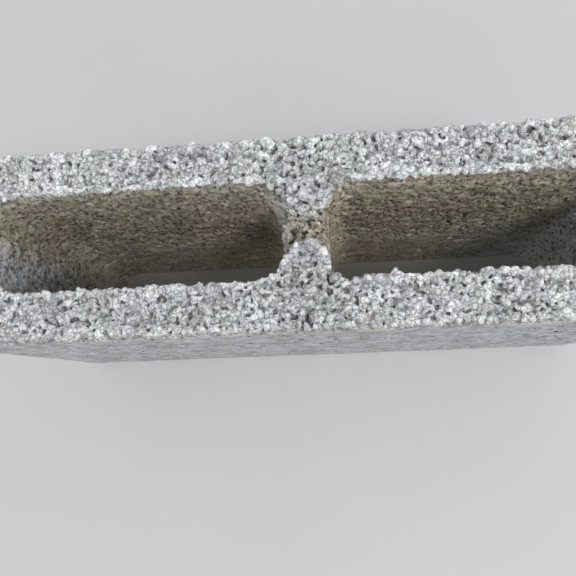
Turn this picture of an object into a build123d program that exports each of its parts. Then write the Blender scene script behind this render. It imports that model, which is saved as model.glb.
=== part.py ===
from build123d import *
import os

# Hollow concrete block with two cores, cast in one piece.
# Frame: the origin is the middle of the bottom bed, X runs along the wall, Y through it and Z up.
# All sizes are in millimetres.

# Overall size, with the length taken over both end tongues
block_length = 390.0
block_width = 100.0
block_height = 190.0

# Walls at the top bed, where they are thinnest
face_shell = 25.5
centre_web = 22.0
end_web = 24.0

# The core walls lean in by this much from the top bed down to the bottom bed
core_draft = 2.0
left_core_corner = 16.0
right_core_corner = 11.0

# A core's corner radius stays within this share of the core's width
corner_share_limit = 0.45

# Each end has a raised band up its middle, with a sloping shoulder on both sides
tongue_depth = 8.0
tongue_face = 40.0
tongue_shoulder = 7.0
tongue_edge_radius = 3.0

# The bar that holds the cores in the mould leaves a round-bottomed saddle across the top of each web
saddle_width = 17.0
saddle_depth = 15.5
saddle_flare = 4.5
saddle_offset = 2.0

# Worn arrises
corner_arris = 3.0
bed_arris = 2.0
core_rim_radius = 2.5

# How far a cutting shape runs past the surface that it cuts
overrun = 3.0

land_to_land = block_length - 2 * tongue_depth
core_length = (land_to_land - centre_web) / 2 - end_web
core_width = block_width - 2 * face_shell
core_centre = (centre_web + core_length) / 2


def mirrored_outline(corner_points):
    """Closes a plan outline from the points of its +X, +Y quarter, listed from the Y side to the X side."""
    right_back = list(corner_points)
    right_front = [(x, -y) for x, y in reversed(right_back)]
    left_front = [(-x, -y) for x, y in right_back]
    left_back = [(-x, y) for x, y in reversed(right_back)]
    return right_back + right_front + left_front + left_back


def outer_form():
    """The block without its cores: a box with a shouldered tongue up each end."""
    half_width = block_width / 2
    shoulder_start = tongue_face / 2 + tongue_shoulder
    outline = mirrored_outline([
        (land_to_land / 2, half_width),
        (land_to_land / 2, shoulder_start),
        (block_length / 2, tongue_face / 2),
    ])
    plan = make_face(Polyline(*outline, close=True))
    halfway = (half_width + shoulder_start) / 2
    plan = fillet([v for v in plan.vertices() if abs(v.Y) > halfway], corner_arris)
    plan = fillet([v for v in plan.vertices() if abs(v.Y) < halfway], tongue_edge_radius)
    return extrude(plan, block_height)


def core(side, corner):
    """One core's space, widest at the top bed. side is -1 for the left core and 1 for the right one."""
    bottom_length = core_length - 2 * core_draft
    bottom_width = core_width - 2 * core_draft
    bottom_corner = min(corner - core_draft, corner_share_limit * bottom_width)
    at_top = RectangleRounded(core_length, core_width, bottom_corner + core_draft)
    at_bottom = RectangleRounded(bottom_length, bottom_width, bottom_corner)
    middle = side * core_centre
    return loft([Pos(middle, 0, block_height) * at_top, Pos(middle, 0, 0) * at_bottom])


def saddle(run):
    """A channel along X with a half-round bottom, narrow up to X 0 and flaring from there to its mouth at X run."""
    radius = saddle_width / 2
    mouth = radius + saddle_flare
    half_plan = make_face([
        Line((-overrun, 0), (-overrun, radius)),
        Line((-overrun, radius), (0, radius)),
        TangentArc((0, radius), (run, mouth), tangent=(1, 0)),
        Line((run, mouth), (run + overrun, mouth)),
        Line((run + overrun, mouth), (run + overrun, 0)),
        Line((run + overrun, 0), (-overrun, 0)),
    ])
    bottom = revolve(half_plan, Axis.X)
    above = extrude(half_plan + mirror(half_plan, Plane.XZ), saddle_depth)
    return bottom + above


def rounded_beds(block):
    """Rounds the edges of the top bed, at the core rims and outside, and the outer edge of the bottom bed."""
    top = block.faces().sort_by(Axis.Z)[-1]
    rims = [edge for wire in top.inner_wires() for edge in wire.edges()]
    block = fillet(rims, core_rim_radius)
    for index in (-1, 0):
        bed = block.faces().sort_by(Axis.Z)[index]
        block = fillet(bed.outer_wire().edges(), bed_arris)
    return block


def concrete_block():
    block = outer_form() - core(-1, left_core_corner) - core(1, right_core_corner)
    block = rounded_beds(block)
    saddle_axis = Pos(0, saddle_offset, block_height - saddle_depth + saddle_width / 2)
    over_centre_web = saddle(centre_web / 2)
    over_end_web = Pos(-block_length / 2, 0, 0) * saddle(end_web + tongue_depth)
    for half_turn in (0, 180):
        block -= saddle_axis * Rot(0, 0, half_turn) * over_centre_web
        block -= saddle_axis * Rot(0, 0, half_turn) * over_end_web
    return block


os.makedirs("parts", exist_ok=True)
export_step(concrete_block(), "parts/concrete_block.step")
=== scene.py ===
"""The look of a hollow concrete block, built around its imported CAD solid.

The block is pressed from a dry, open mix: grains coated in cement, with gaps between them. Its struck top
bed is all round grains, and its moulded sides are flat and pitted. Here the CAD solid becomes a field of
distances, the grains are packed into that field, and the result is meshed again as one closed surface.
Lengths are in millimetres up to the finished mesh, and in metres after it.
A fade is a pair of places: where a change starts, and where it is complete.
"""

import bpy
import numpy as np
import openvdb
from mathutils import Matrix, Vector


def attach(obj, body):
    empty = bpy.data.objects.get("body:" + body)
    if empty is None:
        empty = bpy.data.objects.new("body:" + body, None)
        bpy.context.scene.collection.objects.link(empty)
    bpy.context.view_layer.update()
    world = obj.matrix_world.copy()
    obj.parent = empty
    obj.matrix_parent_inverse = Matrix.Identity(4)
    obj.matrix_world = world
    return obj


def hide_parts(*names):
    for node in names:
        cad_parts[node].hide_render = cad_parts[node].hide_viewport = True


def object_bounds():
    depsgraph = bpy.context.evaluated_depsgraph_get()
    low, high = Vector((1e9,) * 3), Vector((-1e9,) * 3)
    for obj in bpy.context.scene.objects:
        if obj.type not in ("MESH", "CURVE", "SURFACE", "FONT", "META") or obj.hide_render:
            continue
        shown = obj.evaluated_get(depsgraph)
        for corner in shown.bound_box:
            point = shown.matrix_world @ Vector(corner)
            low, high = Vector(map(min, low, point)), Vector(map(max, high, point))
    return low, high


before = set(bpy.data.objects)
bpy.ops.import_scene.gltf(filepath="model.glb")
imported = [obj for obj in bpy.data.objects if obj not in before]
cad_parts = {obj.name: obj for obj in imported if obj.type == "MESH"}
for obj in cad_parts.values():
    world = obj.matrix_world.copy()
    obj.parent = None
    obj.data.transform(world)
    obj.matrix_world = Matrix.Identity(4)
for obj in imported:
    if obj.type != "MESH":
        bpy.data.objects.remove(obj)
cad_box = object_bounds()

MM = 0.001
NODE = "concrete_block"
random = np.random.default_rng(41)

block_low = np.array(cad_box[0]) / MM
block_high = np.array(cad_box[1]) / MM
bed_z = block_high[2]

# The grid that the surface is worked out on, how far it runs past the block, and how far from the surface
# distances are kept: in the fields, and for the mesher
cell = 0.8
margin = 8.0
band = 7.0
mesh_band = 3.0

# The finished mesh keeps most of its triangles where plainness is low
triangle_limit = 196_000
plainness = {"bed": 0.3, "core": 0.75, "outer": 1.0}
least_plainness = 0.05
plainness_levels = 20
plainness_pull = 15.0

# The bottom bed lies on a layer of cells, where the mesher would make faces with no area. So it is cut this
# much higher, and its points are moved down again once the mesh is made.
bottom_lift = 0.01


# Zones

# The block's own measures
centre_web_half = 11.0
core_far_end = 163.0
core_half_width = 26.5
end_web_reach = 23.0

# The struck bed gives way to the moulded sides over this height. Its grains run lower in the saddle over
# each web, and in the corners of the cores beside the centre web.
bed_fade = (bed_z - 7.0, bed_z - 3.0)
saddle_fade = (bed_z - 22.5, bed_z - 18.5)
saddle_middle = 2.0
saddle_side_fade = (14.0, 12.0)
web_fade_width = 3.0
corner_drop = 4.0
corner_x_fade = (28.0, 16.0)
corner_y_fade = (38.0, 30.0)

# Deep in the cores the walls are as plain as the outer faces. A wall counts as a core's up to this depth.
core_fade = (60.0, 100.0)
core_wall_depth = 2.0


# The solid's edges

# The mix stands fuller at the edges of the bed than the CAD solid's round arrises: by this much at each of
# them. It comes in over this height, and nowhere past the block's own box.
outer_fill = {"front": 0.3, "back": 1.4}
rim_fill = {"left front": 1.7, "right front": 2.2, "left back": -0.8, "right back": 1.4}
fill_height_fade = (bed_z - 9.0, bed_z - 4.0)
side_to_side_fade = (-8.0, 8.0)
outer_y_fade = (34.0, 40.0)
outer_x_fade = (180.0, 186.0)

# In front of the centre web it is less full, but fullest of all at the lip of the web's saddle
web_fill = 0.4
web_fill_fade = (26.0, 14.0)
saddle_fill = 3.2
saddle_fill_fade = (12.0, 1.0)

# Oval shapes. Cut away are a chip out of the bed's back edge and the worn back lip of the saddle. Added are
# a lump of mix on the right core's front rim and a burr on the left side of the centre web.
cut_ovals = (
    {"middle": (-9.0, 52.0, bed_z), "reach": (6.5, 5.5, 5.0)},
    {"middle": (0.0, 10.5, bed_z + 1.5), "reach": (14.0, 4.5, 6.5)},
)
added_ovals = (
    {"middle": (42.0, -22.6, bed_z - 3.4), "reach": (3.4, 3.4, 3.2)},
    {"middle": (-10.0, 2.0, bed_z - 21.5), "reach": (3.8, 14.0, 7.0)},
)


# The mix

# The sizes of grain, each on its own lattice. share is the part of the lattice that holds one. deepest is
# how far under the surface they go. tips is how far below the surface their tops may stand: where it is
# negative, they stand out. coarse is above 0 for sizes that the mix's coarse patches hold more of, and below
# 0 for its fine patches.
small_grains = {
    "spacing": 2.5, "radii": (0.9, 1.5), "deepest": 4.5, "coarse": -0.2,
    "share": {"bed": 0.75, "core": 1.0, "outer": 1.0},
    "tips": {"bed": (1.2, 3.4), "core": (-0.1, 1.3), "outer": (-0.8, 0.4)},
}
middling_grains = {
    "spacing": 3.1, "radii": (1.15, 1.85), "deepest": 5.0, "coarse": -0.3,
    "share": {"bed": 0.6, "core": 0.0, "outer": 0.0},
    "tips": {"bed": (0.1, 2.6), "core": (-0.1, 1.3), "outer": (-0.8, 0.4)},
}
large_grains = {
    "spacing": 4.1, "radii": (1.7, 2.8), "deepest": 5.0, "coarse": 0.2,
    "share": {"bed": 0.6, "core": 0.8, "outer": 0.8},
    "tips": {"bed": (0.0, 1.7), "core": (-0.3, 0.8), "outer": (-1.0, 0.2)},
}
clumps = {
    "spacing": 8.5, "radii": (2.8, 4.6), "deepest": 6.0, "coarse": 0.4,
    "share": {"bed": 0.5, "core": 0.3, "outer": 0.3},
    "tips": {"bed": (0.0, 1.2), "core": (-0.6, 1.0), "outer": (-1.2, 0.2)},
}

# The mix has coarse and fine patches of about this size
patch_size = 26.0

# How far a grain may stray from its place on the lattice, as a share of the spacing, how far its centre may
# lie outside the solid, and how far the lattice runs past the block. A grain's three axes differ by factors
# in this range.
stray = 0.42
outermost = 0.5
lattice_margin = 1.0
axis_range = (0.72, 1.36)

# Against the mould the cement swells the grains, and pressing along Z draws them out
swelling = {"bed": 1.0, "core": 1.0, "outer": 1.18}
upright = {"bed": 1.0, "core": 1.15, "outer": 1.3}

# How sharply two grains meet: a larger value leaves a narrower crease, in 1/mm
crease = 7.0

# A grain counts up to this far outside its own surface, and down to this weight. Where there is none, the
# sum of the weights has this value. So many cells are worked out at once.
weight_reach = 0.9
least_weight = 0.02
no_grain = 1e-6
batch_size = 3_000_000

# How deep the gaps between grains go, and how far the bed's grains may stand out over a rounded edge
gap_depth = {"bed": 3.8, "core": 2.6, "outer": 2.4}
bed_bulge = 0.9

# The grains' lumpy shapes, and the finer roughness of the cement on them: how strong, and of what size
grain_raggedness = {"bed": 0.4, "core": 0.25, "outer": 0.2}
raggedness_size = 4.0
paste_roughness = {"bed": 0.2, "core": 0.12, "outer": 0.05}
roughness_size = 1.8

# How much cement fills the gaps between grains, and how patchy that is. On the outer faces it closes most.
paste_fill = {"bed": 0.0, "core": 0.05, "outer": 0.5}
paste_patch = 9.0
paste_patchiness = 0.9

# A hollow is a place with more concrete than air around it, within these two distances
hollow_reaches = (0.8, 2.4)


# Where the colours, the painted light and the painted shade change

# How far the grains' greys spread: the bed shows bare grains, and cement hides them elsewhere
tone_spread = {"bed": 1.0, "core": 0.6, "outer": 0.3}

# The brown tint in the cores, partly the walls' own colour and partly painted shade, starts at the first
# depth below the bed, and is full at the second one. Both are lower on the centre web, and higher along the
# back of the left core.
brown_tint_depths = (2.5, 6.0)
brown_tint_drop_on_web = (2.5, 13.0)
brown_tint_rise = 1.7
brown_tint_web_x = (centre_web_half + 2, centre_web_half - 1)
left_back = {"x": (-12, -20), "y": (4, 12)}

# It is missing from the front half of the left core's end, and from the bottom of the right core's end,
# where a paler grey is painted, as painted light. It is weaker on the left side of the web, and there is a
# weak one on the bed's front edge, as painted shade on its rounding.
lit_left_end = {"x": (-140, -156), "y": (12, -4)}
lit_right_bottom = {"x": (70, 150), "z": (110, 30)}
lit_right_end = {"x": (148, 158), "z": (150, 105)}
left_of_web = {"x": (0, -4)}
left_web_brown_tint_loss = 0.55
# The bed's front edge gets a weak brown tint, as painted shade on its rounding
front_edge = {"y": (-47.2, -49.4)}
front_edge_painted_shade = 0.55

# The web's sides are painted paler than the rest of the cores, as painted light, and the left one most of
# all, above all deep down
web_side_x = (30, 12)
web_face_x = (centre_web_half - 2, centre_web_half)
web_side_gain = 0.55
left_web_side_gain = 0.75
left_web_deep_share = 1.25
left_web_top_loss = 0.85
left_web_top = {"z": (bed_z - 34, bed_z - 9)}

# The bed is darker over the web, and a little on its front half. The saddle is painted paler, as painted
# light. Over the web and in the saddle there is more contrast.
dull_bed_x = (36, 12)
dull_bed_loss = 0.13
dull_bed_contrast = 0.25
saddle_top = {"z": (bed_z - 3, bed_z - 8)}
saddle_gain = 0.28
saddle_contrast = 0.1
front_half = {"y": (-10, -30)}
front_half_loss = 0.06

# The right core is painted paler than the left one, as painted light, and most so near the bed and at its
# far end
right_of_web = {"x": (8, 16)}
right_core_gain = 0.04
right_core_top = {"z": (150, 172)}
right_core_top_gain = 0.26
right_core_end = {"x": (146, 158)}
right_core_end_gain = 0.4

# Pale pebbles on the bed: their places along X and Y, their radii, and the width of their soft edge
pebbles = ((28.0, -44.5, 3.0), (47.5, -45.4, 2.2), (-150.0, -44.2, 2.6))
pebble_edge = 0.8


# Fields

def ramp(value, start, end):
    """0 up to start, 1 from end on, and a smooth step between them."""
    t = np.clip((value - start) / (end - start), 0.0, 1.0)
    return t * t * (3 - 2 * t)


def blend(a, b, share):
    return a + (b - a) * share


class Grid:
    """Cubic cells around the block. low is its first cell's index, and x, y and z are the cells' places."""

    def __init__(self):
        self.low = np.floor((block_low - margin) / cell).astype(int)
        self.high = np.ceil((block_high + margin) / cell).astype(int) + 1
        self.shape = tuple(int(n) for n in self.high - self.low)
        self.corner = tuple(int(n) for n in self.low)
        self.strides = np.array([self.shape[1] * self.shape[2], self.shape[2], 1])
        along = [(np.arange(n) + first) * cell for n, first in zip(self.shape, self.low)]
        self.x = along[0].astype(np.float32)[:, None, None]
        self.y = along[1].astype(np.float32)[None, :, None]
        self.z = along[2].astype(np.float32)[None, None, :]

    def distance(self, points, triangles):
        """The distance from each cell to the surface, negative inside, up to the band's width."""
        transform = openvdb.createLinearTransform(voxelSize=cell)
        volume = openvdb.FloatGrid.createLevelSetFromPolygons(
            points, triangles=triangles, transform=transform, halfWidth=band / cell)
        field = np.empty(self.shape, np.float32)
        volume.copyToArray(field, ijk=self.corner)
        return field

    def surface(self, field):
        """The points in mm and the four-sided faces of the surface where a field is zero."""
        volume = openvdb.FloatGrid(background=mesh_band)
        volume.copyFromArray(np.clip(field, -mesh_band, mesh_band), ijk=self.corner)
        volume.transform = openvdb.createLinearTransform(voxelSize=cell)
        points, _, quads = volume.convertToPolygons(isovalue=0.0, adaptivity=0.0)
        return points, quads.astype(np.int64)

    def sample(self, field, points):
        """A field's values at points, blended between the eight cells around each."""
        place = points / cell - self.low
        base = np.clip(np.floor(place).astype(int), 0, np.array(self.shape) - 2)
        part = np.clip(place - base, 0, 1)
        total = np.zeros(len(points))
        for corner in np.ndindex(2, 2, 2):
            weight = np.where(corner, part, 1 - part).prod(1)
            i, j, k = (base + corner).T
            total += weight * field[i, j, k]
        return total


grid = Grid()


def lumpy_noise(wavelength):
    """Smooth random values with a spread of 1, over every cell."""
    step = max(1, round(wavelength / 2 / cell))
    field = random.normal(size=[n // step + 2 for n in grid.shape]).astype(np.float32)
    for axis, count in enumerate(grid.shape):
        place = np.arange(count) / step
        first = place.astype(int)
        part = ramp(place - first, 0.0, 1.0).astype(np.float32)
        part = part.reshape([-1 if a == axis else 1 for a in range(3)])
        field = np.take(field, first, axis) * (1 - part) + np.take(field, first + 1, axis) * part
    return field / field.std()


def zones(x, y, z):
    """How much of each place belongs to the struck bed, and how much to a core."""
    x, y = np.abs(x), np.abs(y - saddle_middle)
    over_centre_web = ramp(x, centre_web_half + web_fade_width, centre_web_half)
    over_end_web = ramp(x, core_far_end - web_fade_width, core_far_end)
    saddle = np.maximum(over_centre_web, over_end_web) * ramp(y, *saddle_side_fade) * ramp(z, *saddle_fade)
    drop = corner_drop * ramp(x, *corner_x_fade) * ramp(y, *corner_y_fade)
    bed = np.maximum(ramp(z + drop, *bed_fade), saddle)
    inside = (y < core_half_width + core_wall_depth) & (x < core_far_end + end_web_reach)
    return bed, inside * ramp(z, *core_fade) * (1 - bed)


def by_zone(values, bed, core):
    """One value for each place, from a table of values for the bed, the cores and the outer faces."""
    outer = values["outer"]
    return outer + (values["bed"] - outer) * bed + (values["core"] - outer) * core


# The solid

def cad_surface(node):
    """A CAD node's points in mm and its triangles, with the points that its faces share merged."""
    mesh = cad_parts[node].data
    mesh.calc_loop_triangles()
    points = np.empty(len(mesh.vertices) * 3, np.float32)
    mesh.vertices.foreach_get("co", points)
    points = points.reshape(-1, 3) / MM
    corners = np.empty(len(mesh.loop_triangles) * 3, np.int32)
    mesh.loop_triangles.foreach_get("vertices", corners)
    _, first, merged = np.unique(points.round(4), axis=0, return_index=True, return_inverse=True)
    return points[first].astype(np.float32), merged.ravel()[corners].reshape(-1, 3).astype(np.uint32)


def inside_box(field):
    """The distances with everything past the block's own box cut away."""
    for along, axis in ((grid.x, 0), (grid.y, 1), (grid.z, 2)):
        field = np.maximum(field, np.maximum(along - block_high[axis], block_low[axis] - along))
    return field


def filled_edges(field):
    """The distances with the edges of the bed filled out, inside the block's own box."""
    away_x, away_y = np.abs(grid.x), np.abs(grid.y)
    back, right = ramp(grid.y, *side_to_side_fade), ramp(grid.x, *side_to_side_fade)
    front_rim = blend(rim_fill["left front"], rim_fill["right front"], right)
    back_rim = blend(rim_fill["left back"], rim_fill["right back"], right)
    front_rim = blend(front_rim, web_fill, ramp(away_x, *web_fill_fade))
    front_rim = front_rim + saddle_fill * ramp(away_x, *saddle_fill_fade)
    rim = blend(front_rim, back_rim, back)
    outer = blend(outer_fill["front"], outer_fill["back"], back)
    outside = np.maximum(ramp(away_y, *outer_y_fade), ramp(away_x, *outer_x_fade))
    amount = blend(rim, outer, outside) * ramp(grid.z, *fill_height_fade)
    return inside_box(field - amount.astype(np.float32))


def oval(middle, reach):
    """Roughly the distance from each cell to an oval ball, negative inside."""
    x, y, z = ((place - m) / r for place, m, r in zip((grid.x, grid.y, grid.z), middle, reach))
    return (np.sqrt(x * x + y * y + z * z) - 1) * min(reach)


solid = filled_edges(grid.distance(*cad_surface(NODE)))
for shape in cut_ovals:
    solid = np.maximum(solid, -oval(**shape))
for shape in added_ovals:
    solid = np.minimum(solid, oval(**shape))


# Grains

def turns(count):
    """Random rotations."""
    quaternions = random.normal(size=(count, 4))
    w, x, y, z = (quaternions / np.linalg.norm(quaternions, axis=1)[:, None]).T
    rows = [1 - 2 * (y * y + z * z), 2 * (x * y - z * w), 2 * (x * z + y * w),
            2 * (x * y + z * w), 1 - 2 * (x * x + z * z), 2 * (y * z - x * w),
            2 * (x * z - y * w), 2 * (y * z + x * w), 1 - 2 * (x * x + y * y)]
    return np.stack(rows, -1).reshape(-1, 3, 3)


def outward(points):
    """The direction that leads out of the solid at each point."""
    steps = np.eye(3) * cell
    slope = [grid.sample(solid, points + step) - grid.sample(solid, points - step) for step in steps]
    slope = np.stack(slope, -1)
    return slope / np.maximum(np.linalg.norm(slope, axis=1), 1e-6)[:, None]


def packed_grains(spacing, radii, share, deepest, tips, coarse):
    """Grains of one size, for the layer under the block's surface."""
    low, high = block_low - lattice_margin, block_high + lattice_margin
    lines = [np.arange(a, b, spacing) for a, b in zip(low, high)]
    centre = np.stack(np.meshgrid(*lines, indexing="ij"), -1).reshape(-1, 3)
    centre += random.uniform(-stray, stray, centre.shape) * spacing
    depth = -grid.sample(solid, centre)
    pick = (depth > -outermost) & (depth < deepest)
    centre, depth = centre[pick], depth[pick]
    local_share = by_zone(share, *zones(*centre.T)) * (1 + coarse * grid.sample(patches, centre))
    pick = random.random(len(centre)) < local_share
    centre, depth = centre[pick], depth[pick]
    bed, core = zones(*centre.T)
    radius = random.uniform(*radii, len(centre)) * by_zone(swelling, bed, core)
    axes = random.uniform(*axis_range, centre.shape)
    axes *= (radius / np.cbrt(axes.prod(1)))[:, None]
    axes[:, 2] *= by_zone(upright, bed, core)
    turn = np.where((bed > 0.5)[:, None, None], turns(len(centre)), np.eye(3))

    # A grain that would stand too far out moves in until its top is at the height that it is given
    out = outward(centre)
    half = np.linalg.norm(np.einsum("nij,ni->nj", turn, out) * axes, axis=1)
    lowest = by_zone({zone: pair[0] for zone, pair in tips.items()}, bed, core)
    highest = by_zone({zone: pair[1] for zone, pair in tips.items()}, bed, core)
    tip = lowest + (highest - lowest) * random.random(len(centre))
    centre -= out * np.maximum(0, half + tip - depth)[:, None]
    tone = random.random(len(centre))
    return {"centre": centre, "axes": axes, "turn": turn, "radius": radius, "tone": tone}


def add_grains(grains):
    """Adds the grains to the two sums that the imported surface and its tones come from."""
    reach = np.ceil((grains["axes"].max(1) + weight_reach) / cell).astype(int)
    for cells in np.unique(reach):
        pick = np.flatnonzero(reach == cells)
        pick = pick[np.argsort(grains["centre"][pick, 0])]
        span = np.arange(-cells, cells + 1)
        window = np.stack(np.meshgrid(span, span, span, indexing="ij"), -1).reshape(-1, 3)
        window = window[np.linalg.norm(window, axis=1) <= cells + 0.5]
        step = max(1, batch_size // len(window))
        for start in range(0, len(pick), step):
            add_batch(grains, pick[start:start + step], window)


def add_batch(grains, pick, window):
    """Adds the picked grains, each in a window of cells around its own."""
    centre, radius = grains["centre"][pick], grains["radius"][pick]
    to_ball = (grains["turn"][pick] / grains["axes"][pick][:, None, :]).transpose(0, 2, 1)
    home = np.rint(centre / cell).astype(int)
    start = np.einsum("nij,nj->ni", to_ball, home * cell - centre)
    run = to_ball.reshape(-1, 3).astype(np.float32) @ (window.T * cell).astype(np.float32)
    local = run.reshape(len(pick), 3, -1) + start[:, :, None].astype(np.float32)
    distance = (np.sqrt((local ** 2).sum(1)) - 1) * radius[:, None].astype(np.float32)
    weight = np.exp(-crease * distance).ravel()
    where = (((home - grid.low) @ grid.strides)[:, None] + (window @ grid.strides)[None]).ravel()
    near = weight > least_weight
    where, weight = where[near], weight[near]
    tone = np.repeat(grains["tone"][pick], len(window))[near]
    first, last = where.min(), where.max() + 1
    grain_sum[first:last] += np.bincount(where - first, weights=weight, minlength=last - first)
    tone_sum[first:last] += np.bincount(where - first, weights=weight * tone, minlength=last - first)


patches = lumpy_noise(patch_size)
grain_sum = np.full(np.prod(grid.shape), no_grain, np.float32)
tone_sum = np.full(np.prod(grid.shape), no_grain / 2, np.float32)
for size in (small_grains, middling_grains, large_grains, clumps):
    add_grains(packed_grains(**size))
grain_sum = grain_sum.reshape(grid.shape)
tone_field = tone_sum.reshape(grid.shape) / grain_sum
packed = -np.log(grain_sum) / crease


# The block's surface

bed, core = zones(grid.x, grid.y, grid.z)
gap = by_zone(gap_depth, bed, core).astype(np.float32)
packed += lumpy_noise(raggedness_size) * by_zone(grain_raggedness, bed, core).astype(np.float32)
paste = by_zone(paste_fill, bed, core).astype(np.float32)
packed -= paste * (1 + paste_patchiness * lumpy_noise(paste_patch))
form = np.maximum(solid - bed_bulge * bed.astype(np.float32), np.minimum(solid + gap, packed))
form += lumpy_noise(roughness_size) * by_zone(paste_roughness, bed, core).astype(np.float32)
form = np.maximum(inside_box(form), block_low[2] + bottom_lift - grid.z)


def solid_share(field, reach):
    """How much of the cube around each cell is concrete: a half on a flat face, more in a hollow."""
    share = (field < 0).astype(np.float32)
    for axis in range(3):
        share = sum(np.roll(share, shift, axis) for shift in range(-reach, reach + 1)) / (2 * reach + 1)
    return share


hollow_field = sum(solid_share(form, round(reach / cell)) for reach in hollow_reaches) / len(hollow_reaches)


def largest_part(points, quads):
    """The mesh without the closed gaps inside the concrete and the grains that touch nothing."""
    edges = np.concatenate([quads[:, [0, 1]], quads[:, [1, 2]], quads[:, [2, 3]], quads[:, [3, 0]]])
    label = np.arange(len(points))
    while True:
        low, high = np.sort(label[edges], axis=1).T
        if (low == high).all():
            break
        np.minimum.at(label, high, low)
        while (label[label] != label).any():
            label = label[label]
    keep = label == np.bincount(label).argmax()
    index = np.cumsum(keep) - 1
    return points[keep], index[quads[keep[quads[:, 0]]]]


def new_mesh(name, points, quads):
    mesh = bpy.data.meshes.new(name)
    mesh.vertices.add(len(points))
    mesh.vertices.foreach_set("co", points.astype(np.float32).ravel())
    mesh.loops.add(quads.size)
    mesh.loops.foreach_set("vertex_index", quads.astype(np.int32).ravel())
    mesh.polygons.add(len(quads))
    mesh.polygons.foreach_set("loop_start", np.arange(0, quads.size, 4, dtype=np.int32))
    mesh.update(calc_edges=True)
    return mesh


def thinned(piece, detail, limit):
    """The piece's mesh with triangles taken out where detail, one value a point from 0 to 1, is high."""
    group = piece.vertex_groups.new(name="plainness")
    levels = np.rint(np.clip(detail, least_plainness, 1) * plainness_levels).astype(int)
    for level in np.unique(levels):
        group.add(np.flatnonzero(levels == level).tolist(), level / plainness_levels, "REPLACE")
    modifier = piece.modifiers.new("thin", "DECIMATE")
    modifier.vertex_group = group.name
    modifier.vertex_group_factor = plainness_pull
    modifier.ratio = limit / (2 * len(piece.data.polygons))
    mesh = bpy.data.meshes.new_from_object(piece.evaluated_get(bpy.context.evaluated_depsgraph_get()))
    piece.modifiers.clear()
    piece.vertex_groups.clear()
    return mesh


dense_points, dense_quads = largest_part(*grid.surface(form))
block = bpy.data.objects.new("block", new_mesh("dense", dense_points, dense_quads))
bpy.context.scene.collection.objects.link(block)
block.data = thinned(block, by_zone(plainness, *zones(*dense_points.T)), triangle_limit)
block.data.name = "block"

points = np.empty(len(block.data.vertices) * 3, np.float32)
block.data.vertices.foreach_get("co", points)
points = np.clip(points.reshape(-1, 3), block_low, block_high)
at_bottom = points[:, 2] < block_low[2] + 2 * bottom_lift
points[:, 2] = np.where(at_bottom, block_low[2], points[:, 2])
block.data.vertices.foreach_set("co", points.astype(np.float32).ravel())


# The values that are painted on the surface, for the material to read

x, y, z = points.T
from_web = np.abs(x)
bed, core = zones(x, y, z)


def region(**fades):
    """0 to 1 for each point: the product of one fade along each axis that is named."""
    places = {"x": x, "y": y, "z": z}
    return np.prod([ramp(places[axis], *fade) for axis, fade in fades.items()], axis=0)


def paint(name, values):
    """Stores one value a point."""
    attribute = block.data.attributes.new(name, "FLOAT", "POINT")
    attribute.data.foreach_set("value", values.astype(np.float32))


inside = (np.abs(y) < core_half_width) & (from_web < core_far_end + end_web_reach)
over_web = ramp(from_web, *brown_tint_web_x)
web_side = ramp(from_web, *web_side_x) * ramp(from_web, *web_face_x) * inside
left_web_side = web_side * region(**left_of_web)
dull_bed = ramp(from_web, *dull_bed_x) * bed
in_saddle = over_web * bed * region(**saddle_top)

# Where the cores get the brown tint, partly painted shade, and where painted light leaves them grey
rise = brown_tint_rise * region(**left_back)
brown_tint_start, brown_tint_full = (
    bed_z - depth - drop * over_web + rise for depth, drop in zip(brown_tint_depths, brown_tint_drop_on_web))
core_brown_tint = inside * ramp(z, brown_tint_start, brown_tint_full)
in_core = np.maximum(core_brown_tint, front_edge_painted_shade * region(**front_edge) * bed)
lit_right = np.maximum(region(**lit_right_bottom), region(**lit_right_end))
lit_grey = np.maximum(region(**lit_left_end), lit_right)

# Painted light on the web's sides, the right core and the saddle
left_web_share = left_web_deep_share - left_web_top_loss * region(**left_web_top)
side_gain = web_side_gain * web_side + left_web_side_gain * left_web_side
web_painted_light = 1 + side_gain * (1 + (left_web_share - 1) * region(**left_of_web)) * (1 - bed)
right_core = region(**right_of_web) * inside * (1 - bed)
right_gain = right_core_gain + right_core_top_gain * region(**right_core_top)
right_core_painted_light = 1 + right_core * (right_gain + right_core_end_gain * region(**right_core_end))
bed_shade = (1 + saddle_gain * in_saddle) * (1 - dull_bed_loss * dull_bed)
front_shade = 1 - front_half_loss * region(**front_half) * bed

contrast = 1 + dull_bed_contrast * dull_bed + saddle_contrast * in_saddle
tone = grid.sample(tone_field, points) - 0.5
paint("grain_tone", 0.5 + tone * by_zone(tone_spread, bed, core) * contrast)
# hollow sets the painted shade in hollows and the painted highlight on grain tops
paint("hollow", 0.5 + (grid.sample(hollow_field, points) - 0.5) * contrast)
paint("bed", bed)
paint("in_core", in_core)
paint("brown_tinted", (1 - lit_grey) * (1 - left_web_brown_tint_loss * left_web_side))
# shade: the painted light of the web's sides, the right core and the saddle, and darker over the web and on
# the bed's front half
paint("shade", web_painted_light * right_core_painted_light * bed_shade * front_shade)
paint("pebble", bed * sum(ramp(np.hypot(x - px, y - py), r, r - pebble_edge) for px, py, r in pebbles))
block.data.transform(Matrix.Scale(MM, 4))
block.data.polygons.foreach_set("use_smooth", np.ones(len(block.data.polygons), bool))


# Material

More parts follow.
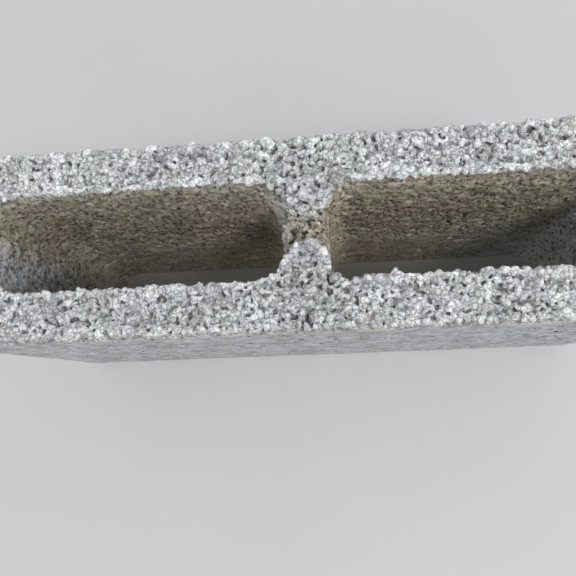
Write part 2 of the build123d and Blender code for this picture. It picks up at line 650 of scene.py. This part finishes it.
class Shader:
    """A material's nodes, with a short way to add one and to feed its inputs."""

    def __init__(self, name):
        self.material = bpy.data.materials.new(name)
        self.material.use_nodes = True
        self.tree = self.material.node_tree
        self.tree.nodes.clear()

    def add(self, kind, inputs=None, output=0, **settings):
        node = self.tree.nodes.new("ShaderNode" + kind)
        for key, value in settings.items():
            setattr(node, key, value)
        for key, value in (inputs or {}).items():
            if isinstance(value, bpy.types.NodeSocket):
                self.tree.links.new(value, node.inputs[key])
            else:
                node.inputs[key].default_value = value
        return node.outputs[output]

    def attribute(self, name):
        return self.add("Attribute", output="Fac", attribute_name=name)

    def math(self, operation, *values):
        return self.add("Math", dict(enumerate(values)), operation=operation)

    def product(self, first, *others):
        for value in others:
            first = self.math("MULTIPLY", first, value)
        return first

    def fade(self, value, start, end, low=0.0, high=1.0):
        """low up to start, high from end on, and a smooth step between them."""
        return self.add("MapRange", {"Value": value, "From Min": start, "From Max": end, "To Min": low,
                                     "To Max": high}, interpolation_type="SMOOTHSTEP")

    def mix(self, factor, a, b):
        return self.add("Mix", {0: factor, 6: a, 7: b}, output=2, data_type="RGBA")

    def tinted(self, colour, tint):
        return self.add("VectorMath", {0: colour, 1: tint}, operation="MULTIPLY")

    def scaled(self, vector, factor):
        return self.add("VectorMath", {0: vector, 3: factor}, operation="SCALE")

    def noise(self, place, scale, detail, output="Fac", **more):
        return self.add("TexNoise", {"Vector": place, "Scale": scale, "Detail": detail, **more}, output)

    def cells(self, place, scale, output="Distance", **settings):
        return self.add("TexVoronoi", {"Vector": place, "Scale": scale}, output, **settings)

    def finished(self, surface):
        end = self.tree.nodes.new("ShaderNodeOutputMaterial")
        self.tree.links.new(surface, end.inputs["Surface"])
        return self.material


def grey(level, red=1.0, blue=1.0):
    return (level * red, level, level * blue, 1)


# The concrete's colours. In a core they change from deep ones to top ones between two heights, in metres.
# Little light gets down there, so the deep ones are painted paler, as painted light. The cores' brown tint
# is partly the walls' own colour and partly painted shade, and the grey where it is missing is painted
# light.
blue_grain = grey(0.825, 0.96, 1.03)
brown_grain = grey(0.825, 1.01, 0.965)
green_patch = (0.975, 1.0, 0.98, 1)
violet_patch = (1.0, 0.985, 1.03, 1)
moulded_cement = grey(0.60, 0.985, 1.03)
deep_brown_tint = grey(0.94, 1.04, 0.88)
top_brown_tint = grey(0.43, 1.085, 0.83)
red_patch = (1.04, 0.97, 0.95, 1)
olive_patch = (0.97, 1.0, 0.93, 1)
deep_lit_grey = grey(0.86, 0.99, 1.03)
top_lit_grey = grey(0.52, 0.985, 1.05)
pebble_colour = grey(0.80, 1.05, 0.98)
crevice_painted_shade = grey(0.065, 1.02, 0.92)
pit_painted_shade = grey(0.09, 1.05, 0.88)
core_heights = (0.02, 0.12)

# How many features each texture has to a metre, and how far the seams and beads are bent, in metres
cloud_scale = 32.0
blotch_scale = 45.0
lump_scale = 150.0
pit_scale = 330.0
seam_scale = 380.0
warp_scale = 700.0
bead_scale = 900.0
speck_scale = 1300.0
bend = 0.0016

# The shades that each texture gives: the two values of it where the change starts and is complete, and the
# shades up to the first and from the second on
speck_shades = (0.3, 0.7, 0.9, 1.11)
# Each bead is painted darker towards its edge, as painted shade
bead_shades = (0.2, 0.75, 1.07, 0.88)
bead_tone_shades = (0.1, 0.9, 0.89, 1.11)
grain_shades = (0.05, 0.95, 0.80, 1.14)
blotch_shades = (0.3, 0.7, 0.92, 1.08)
lump_shades = (0.35, 0.6, 0.79, 1.12)
# Grain tops are painted paler than their sides, as a painted highlight
lit_top_shades = (0.3, 0.5, 1.1, 0.99)

# A seam is painted shade in the crease between beads: dark up to the first distance from its middle, and
# pale from the second on. Both shades change from smooth cement to bare grains. Where hollow is above the
# level here, a seam is wider.
seam_range = (-0.02, 0.2)
seam_dark_shades = (0.0, 1.0, 0.93, 0.5)
seam_pale_shades = (0.0, 1.0, 1.0, 1.08)
seam_hollow_level = 0.45
seam_widening = 0.5

# How bare the grains in the cores are, and how much the cement is smeared over them
core_bareness = 0.5
core_smear = 0.45

# A grain leans to blue or brown by the sine of its tone times this. The patches of tint change over these
# ranges.
tint_turns = 40.0
bed_patch_range = (0.35, 0.65)
brown_tint_patch_range = (0.4, 0.6)

# Painted shade: where hollows turn dark, how dark, and how much sooner they do on the outer faces
crevice_range = (0.54, 0.81)
crevice_strength = 0.9
outer_face_crevices = 0.06

# Pits are the middles of cells, painted dark as painted shade, and outside the cores only some cells
# have one
pit_stretch = (1, 1, 0.6)
pit_range = (0.42, 0.16)
pit_cells = (0.62, 0.7)
pit_strength = 0.62

# The relief's height, in parts of its whole depth, and that depth in metres
speck_height = 0.6
bead_heights = (0.1, 0.7, 0.7, 0.0)
seam_slope = (0.35, 0.0)
seam_depths = (0.0, 1.0, 0.15, 0.6)
pit_depth = 1.2
relief_strength = 0.9
relief_depth = 0.0007

# How rough the surface is at its specks, and how strongly it shines
roughness_range = (0.3, 0.7, 0.82, 0.97)
shine = 0.35


def concrete():
    s = Shader("concrete")
    place = s.add("TexCoord", output="Object")
    tone, hollow = s.attribute("grain_tone"), s.attribute("hollow")
    bed, in_core = s.attribute("bed"), s.attribute("in_core")
    moulded = s.math("SUBTRACT", 1.0, bed)
    outer_face = s.product(moulded, s.math("SUBTRACT", 1.0, in_core))

    # Fine sand, beads of cement and the seams between them. The seams are painted shade in the creases, and
    # each bead is painted darker towards its edge, as painted shade. Seams show where the grains are bare,
    # and more in hollows than on tops. The cement in the cores is smeared, which evens all of this out.
    speck = s.noise(place, speck_scale, 3.0, Roughness=0.65)
    warp = s.noise(place, warp_scale, 1.0, output="Color")
    bent = s.add("VectorMath", {0: place, 1: s.scaled(warp, bend)})
    seam = s.cells(bent, seam_scale, feature="DISTANCE_TO_EDGE")
    bead = s.cells(bent, bead_scale)
    bead_tone = s.cells(bent, bead_scale, output="Color")
    sunk = s.product(s.math("SUBTRACT", hollow, seam_hollow_level), seam_widening)
    bareness = s.math("MAXIMUM", bed, s.product(in_core, core_bareness))
    seam_dark = s.fade(bareness, *seam_dark_shades)
    seam_pale = s.fade(bareness, *seam_pale_shades)
    seam_shade = s.fade(s.math("SUBTRACT", seam, sunk), *seam_range, seam_dark, seam_pale)
    sand = s.product(s.fade(speck, *speck_shades), seam_shade, s.fade(bead, *bead_shades))
    sand = s.product(sand, s.fade(bead_tone, *bead_tone_shades))
    smeared = s.product(in_core, moulded, core_smear)
    unsmeared = s.math("SUBTRACT", 1.0, smeared)
    sand = s.math("ADD", s.product(sand, unsmeared), smeared)

    # Each grain has its own grey, and the cement over it is lumpy and blotchy. Grain tops are painted paler,
    # as a painted highlight.
    lump_shade = s.fade(s.noise(place, lump_scale, 2.0), *lump_shades)
    blotch_shade = s.fade(s.noise(place, blotch_scale, 4.0, Roughness=0.55), *blotch_shades)
    grain = s.product(sand, s.fade(tone, *grain_shades), blotch_shade, lump_shade)
    # shade brings in the painted light of the web's sides, the right core and the saddle
    grain = s.product(grain, s.fade(hollow, *lit_top_shades), s.attribute("shade"))

    # The bed's grains lean to blue or brown and its patches to green or violet. The brown tint in the cores,
    # partly painted shade, has patches of red and olive. The grey where it is missing is painted light.
    cloud = s.noise(place, cloud_scale, 2.0)
    leaning = s.fade(s.math("SINE", s.product(tone, tint_turns)), -1.0, 1.0)
    bare = s.mix(leaning, blue_grain, brown_grain)
    bare = s.tinted(bare, s.mix(s.fade(cloud, *bed_patch_range), green_patch, violet_patch))
    core_height = s.fade(s.add("SeparateXYZ", {"Vector": place}, output="Z"), *core_heights)
    brown_tint = s.mix(core_height, deep_brown_tint, top_brown_tint)
    brown_tint = s.tinted(brown_tint, s.mix(s.fade(cloud, *brown_tint_patch_range), red_patch, olive_patch))
    lit_grey = s.mix(core_height, deep_lit_grey, top_lit_grey)
    cement = s.mix(bed, moulded_cement, bare)
    cement = s.mix(in_core, cement, s.mix(s.attribute("brown_tinted"), lit_grey, brown_tint))
    cement = s.mix(s.attribute("pebble"), cement, pebble_colour)

    # Painted shade darkens the hollows between grains
    depth = s.math("ADD", hollow, s.product(outer_face, outer_face_crevices))
    crevice = s.product(s.fade(depth, *crevice_range), crevice_strength)
    colour = s.mix(crevice, s.scaled(cement, grain), crevice_painted_shade)

    # Small pits in the moulded sides, drawn out along the way the mix was pressed, and painted dark as
    # painted shade
    tall = s.add("Mapping", {"Vector": place, "Scale": pit_stretch})
    pitted = s.fade(s.cells(tall, pit_scale, output="Color"), *pit_cells)
    pits = s.product(s.fade(s.cells(tall, pit_scale), *pit_range), moulded)
    pits = s.product(pits, s.math("MAXIMUM", in_core, pitted))
    colour = s.mix(s.product(pits, pit_strength), colour, pit_painted_shade)

    # Fine relief: seams sink most where the grains are bare, beads and specks stand up, and pits are deep
    sinking = s.fade(seam, *seam_slope, 0.0, s.fade(bareness, *seam_depths))
    height = s.math("SUBTRACT", s.product(speck, speck_height), sinking)
    height = s.math("ADD", height, s.fade(bead, *bead_heights))
    height = s.math("SUBTRACT", s.product(height, unsmeared), s.product(pits, pit_depth))
    bump = s.add("Bump", {"Height": height, "Strength": relief_strength, "Distance": relief_depth})
    roughness = s.fade(speck, *roughness_range)
    shader = s.add("BsdfPrincipled", {"Base Color": colour, "Roughness": roughness,
                                      "Specular IOR Level": shine, "Normal": bump})
    return s.finished(shader)


block.name = "cast_concrete"
block.data.materials.append(concrete())
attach(block, "root")
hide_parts(NODE)


# Studio

floor_half = 8.0
floor_mist_scale = 6.0
floor_darker = grey(0.60)
floor_paler = grey(0.64)
floor_roughness = 0.9
sky_colour = (0.97, 0.985, 1.0, 1)
sky_strength = 0.75
lamp_place = (0.84, -0.65, 1.99)
lamp_aim = (0, 0, 0.19)
lamp_size = 0.5
lamp_watts = 17.0
camera_place = (0.0128, -0.0758, 0.4597)
camera_turn = (9.76, 5.05, -1.89)
camera_lens = 36.0
camera_sensor = 36.0


def floor():
    low, high = -floor_half, floor_half
    mesh = bpy.data.meshes.new("floor")
    mesh.from_pydata([(low, low, 0), (high, low, 0), (high, high, 0), (low, high, 0)], [], [(0, 1, 2, 3)])
    piece = bpy.data.objects.new("floor", mesh)
    bpy.context.scene.collection.objects.link(piece)
    s = Shader("floor")
    mist = s.noise(s.add("TexCoord", output="Object"), floor_mist_scale, 3.0)
    colour = s.mix(mist, floor_darker, floor_paler)
    shader = s.add("BsdfPrincipled", {"Base Color": colour, "Roughness": floor_roughness})
    mesh.materials.append(s.finished(shader))


def softbox():
    light = bpy.data.lights.new("key", "AREA")
    light.shape, light.size, light.energy = "SQUARE", lamp_size, lamp_watts
    lamp = bpy.data.objects.new("key", light)
    lamp.location = lamp_place
    away = lamp.location - type(lamp.location)(lamp_aim)
    lamp.rotation_euler = away.to_track_quat("Z", "Y").to_euler()
    bpy.context.scene.collection.objects.link(lamp)


def sky():
    made = bpy.data.worlds.new("studio")
    made.use_nodes = True
    background = made.node_tree.nodes["Background"]
    background.inputs["Color"].default_value = sky_colour
    background.inputs["Strength"].default_value = sky_strength
    bpy.context.scene.world = made


def camera():
    """The photograph's view: from above the near face, close to the middle of the top bed."""
    data = bpy.data.cameras.new("camera")
    data.lens, data.sensor_width = camera_lens, camera_sensor
    data.clip_start, data.clip_end = 0.01, 50.0
    view = bpy.data.objects.new("camera", data)
    view.location = camera_place
    view.rotation_euler = np.radians(camera_turn)
    bpy.context.scene.collection.objects.link(view)
    bpy.context.scene.camera = view


floor()
softbox()
sky()
camera()
bpy.context.scene.view_settings.view_transform = "Standard"
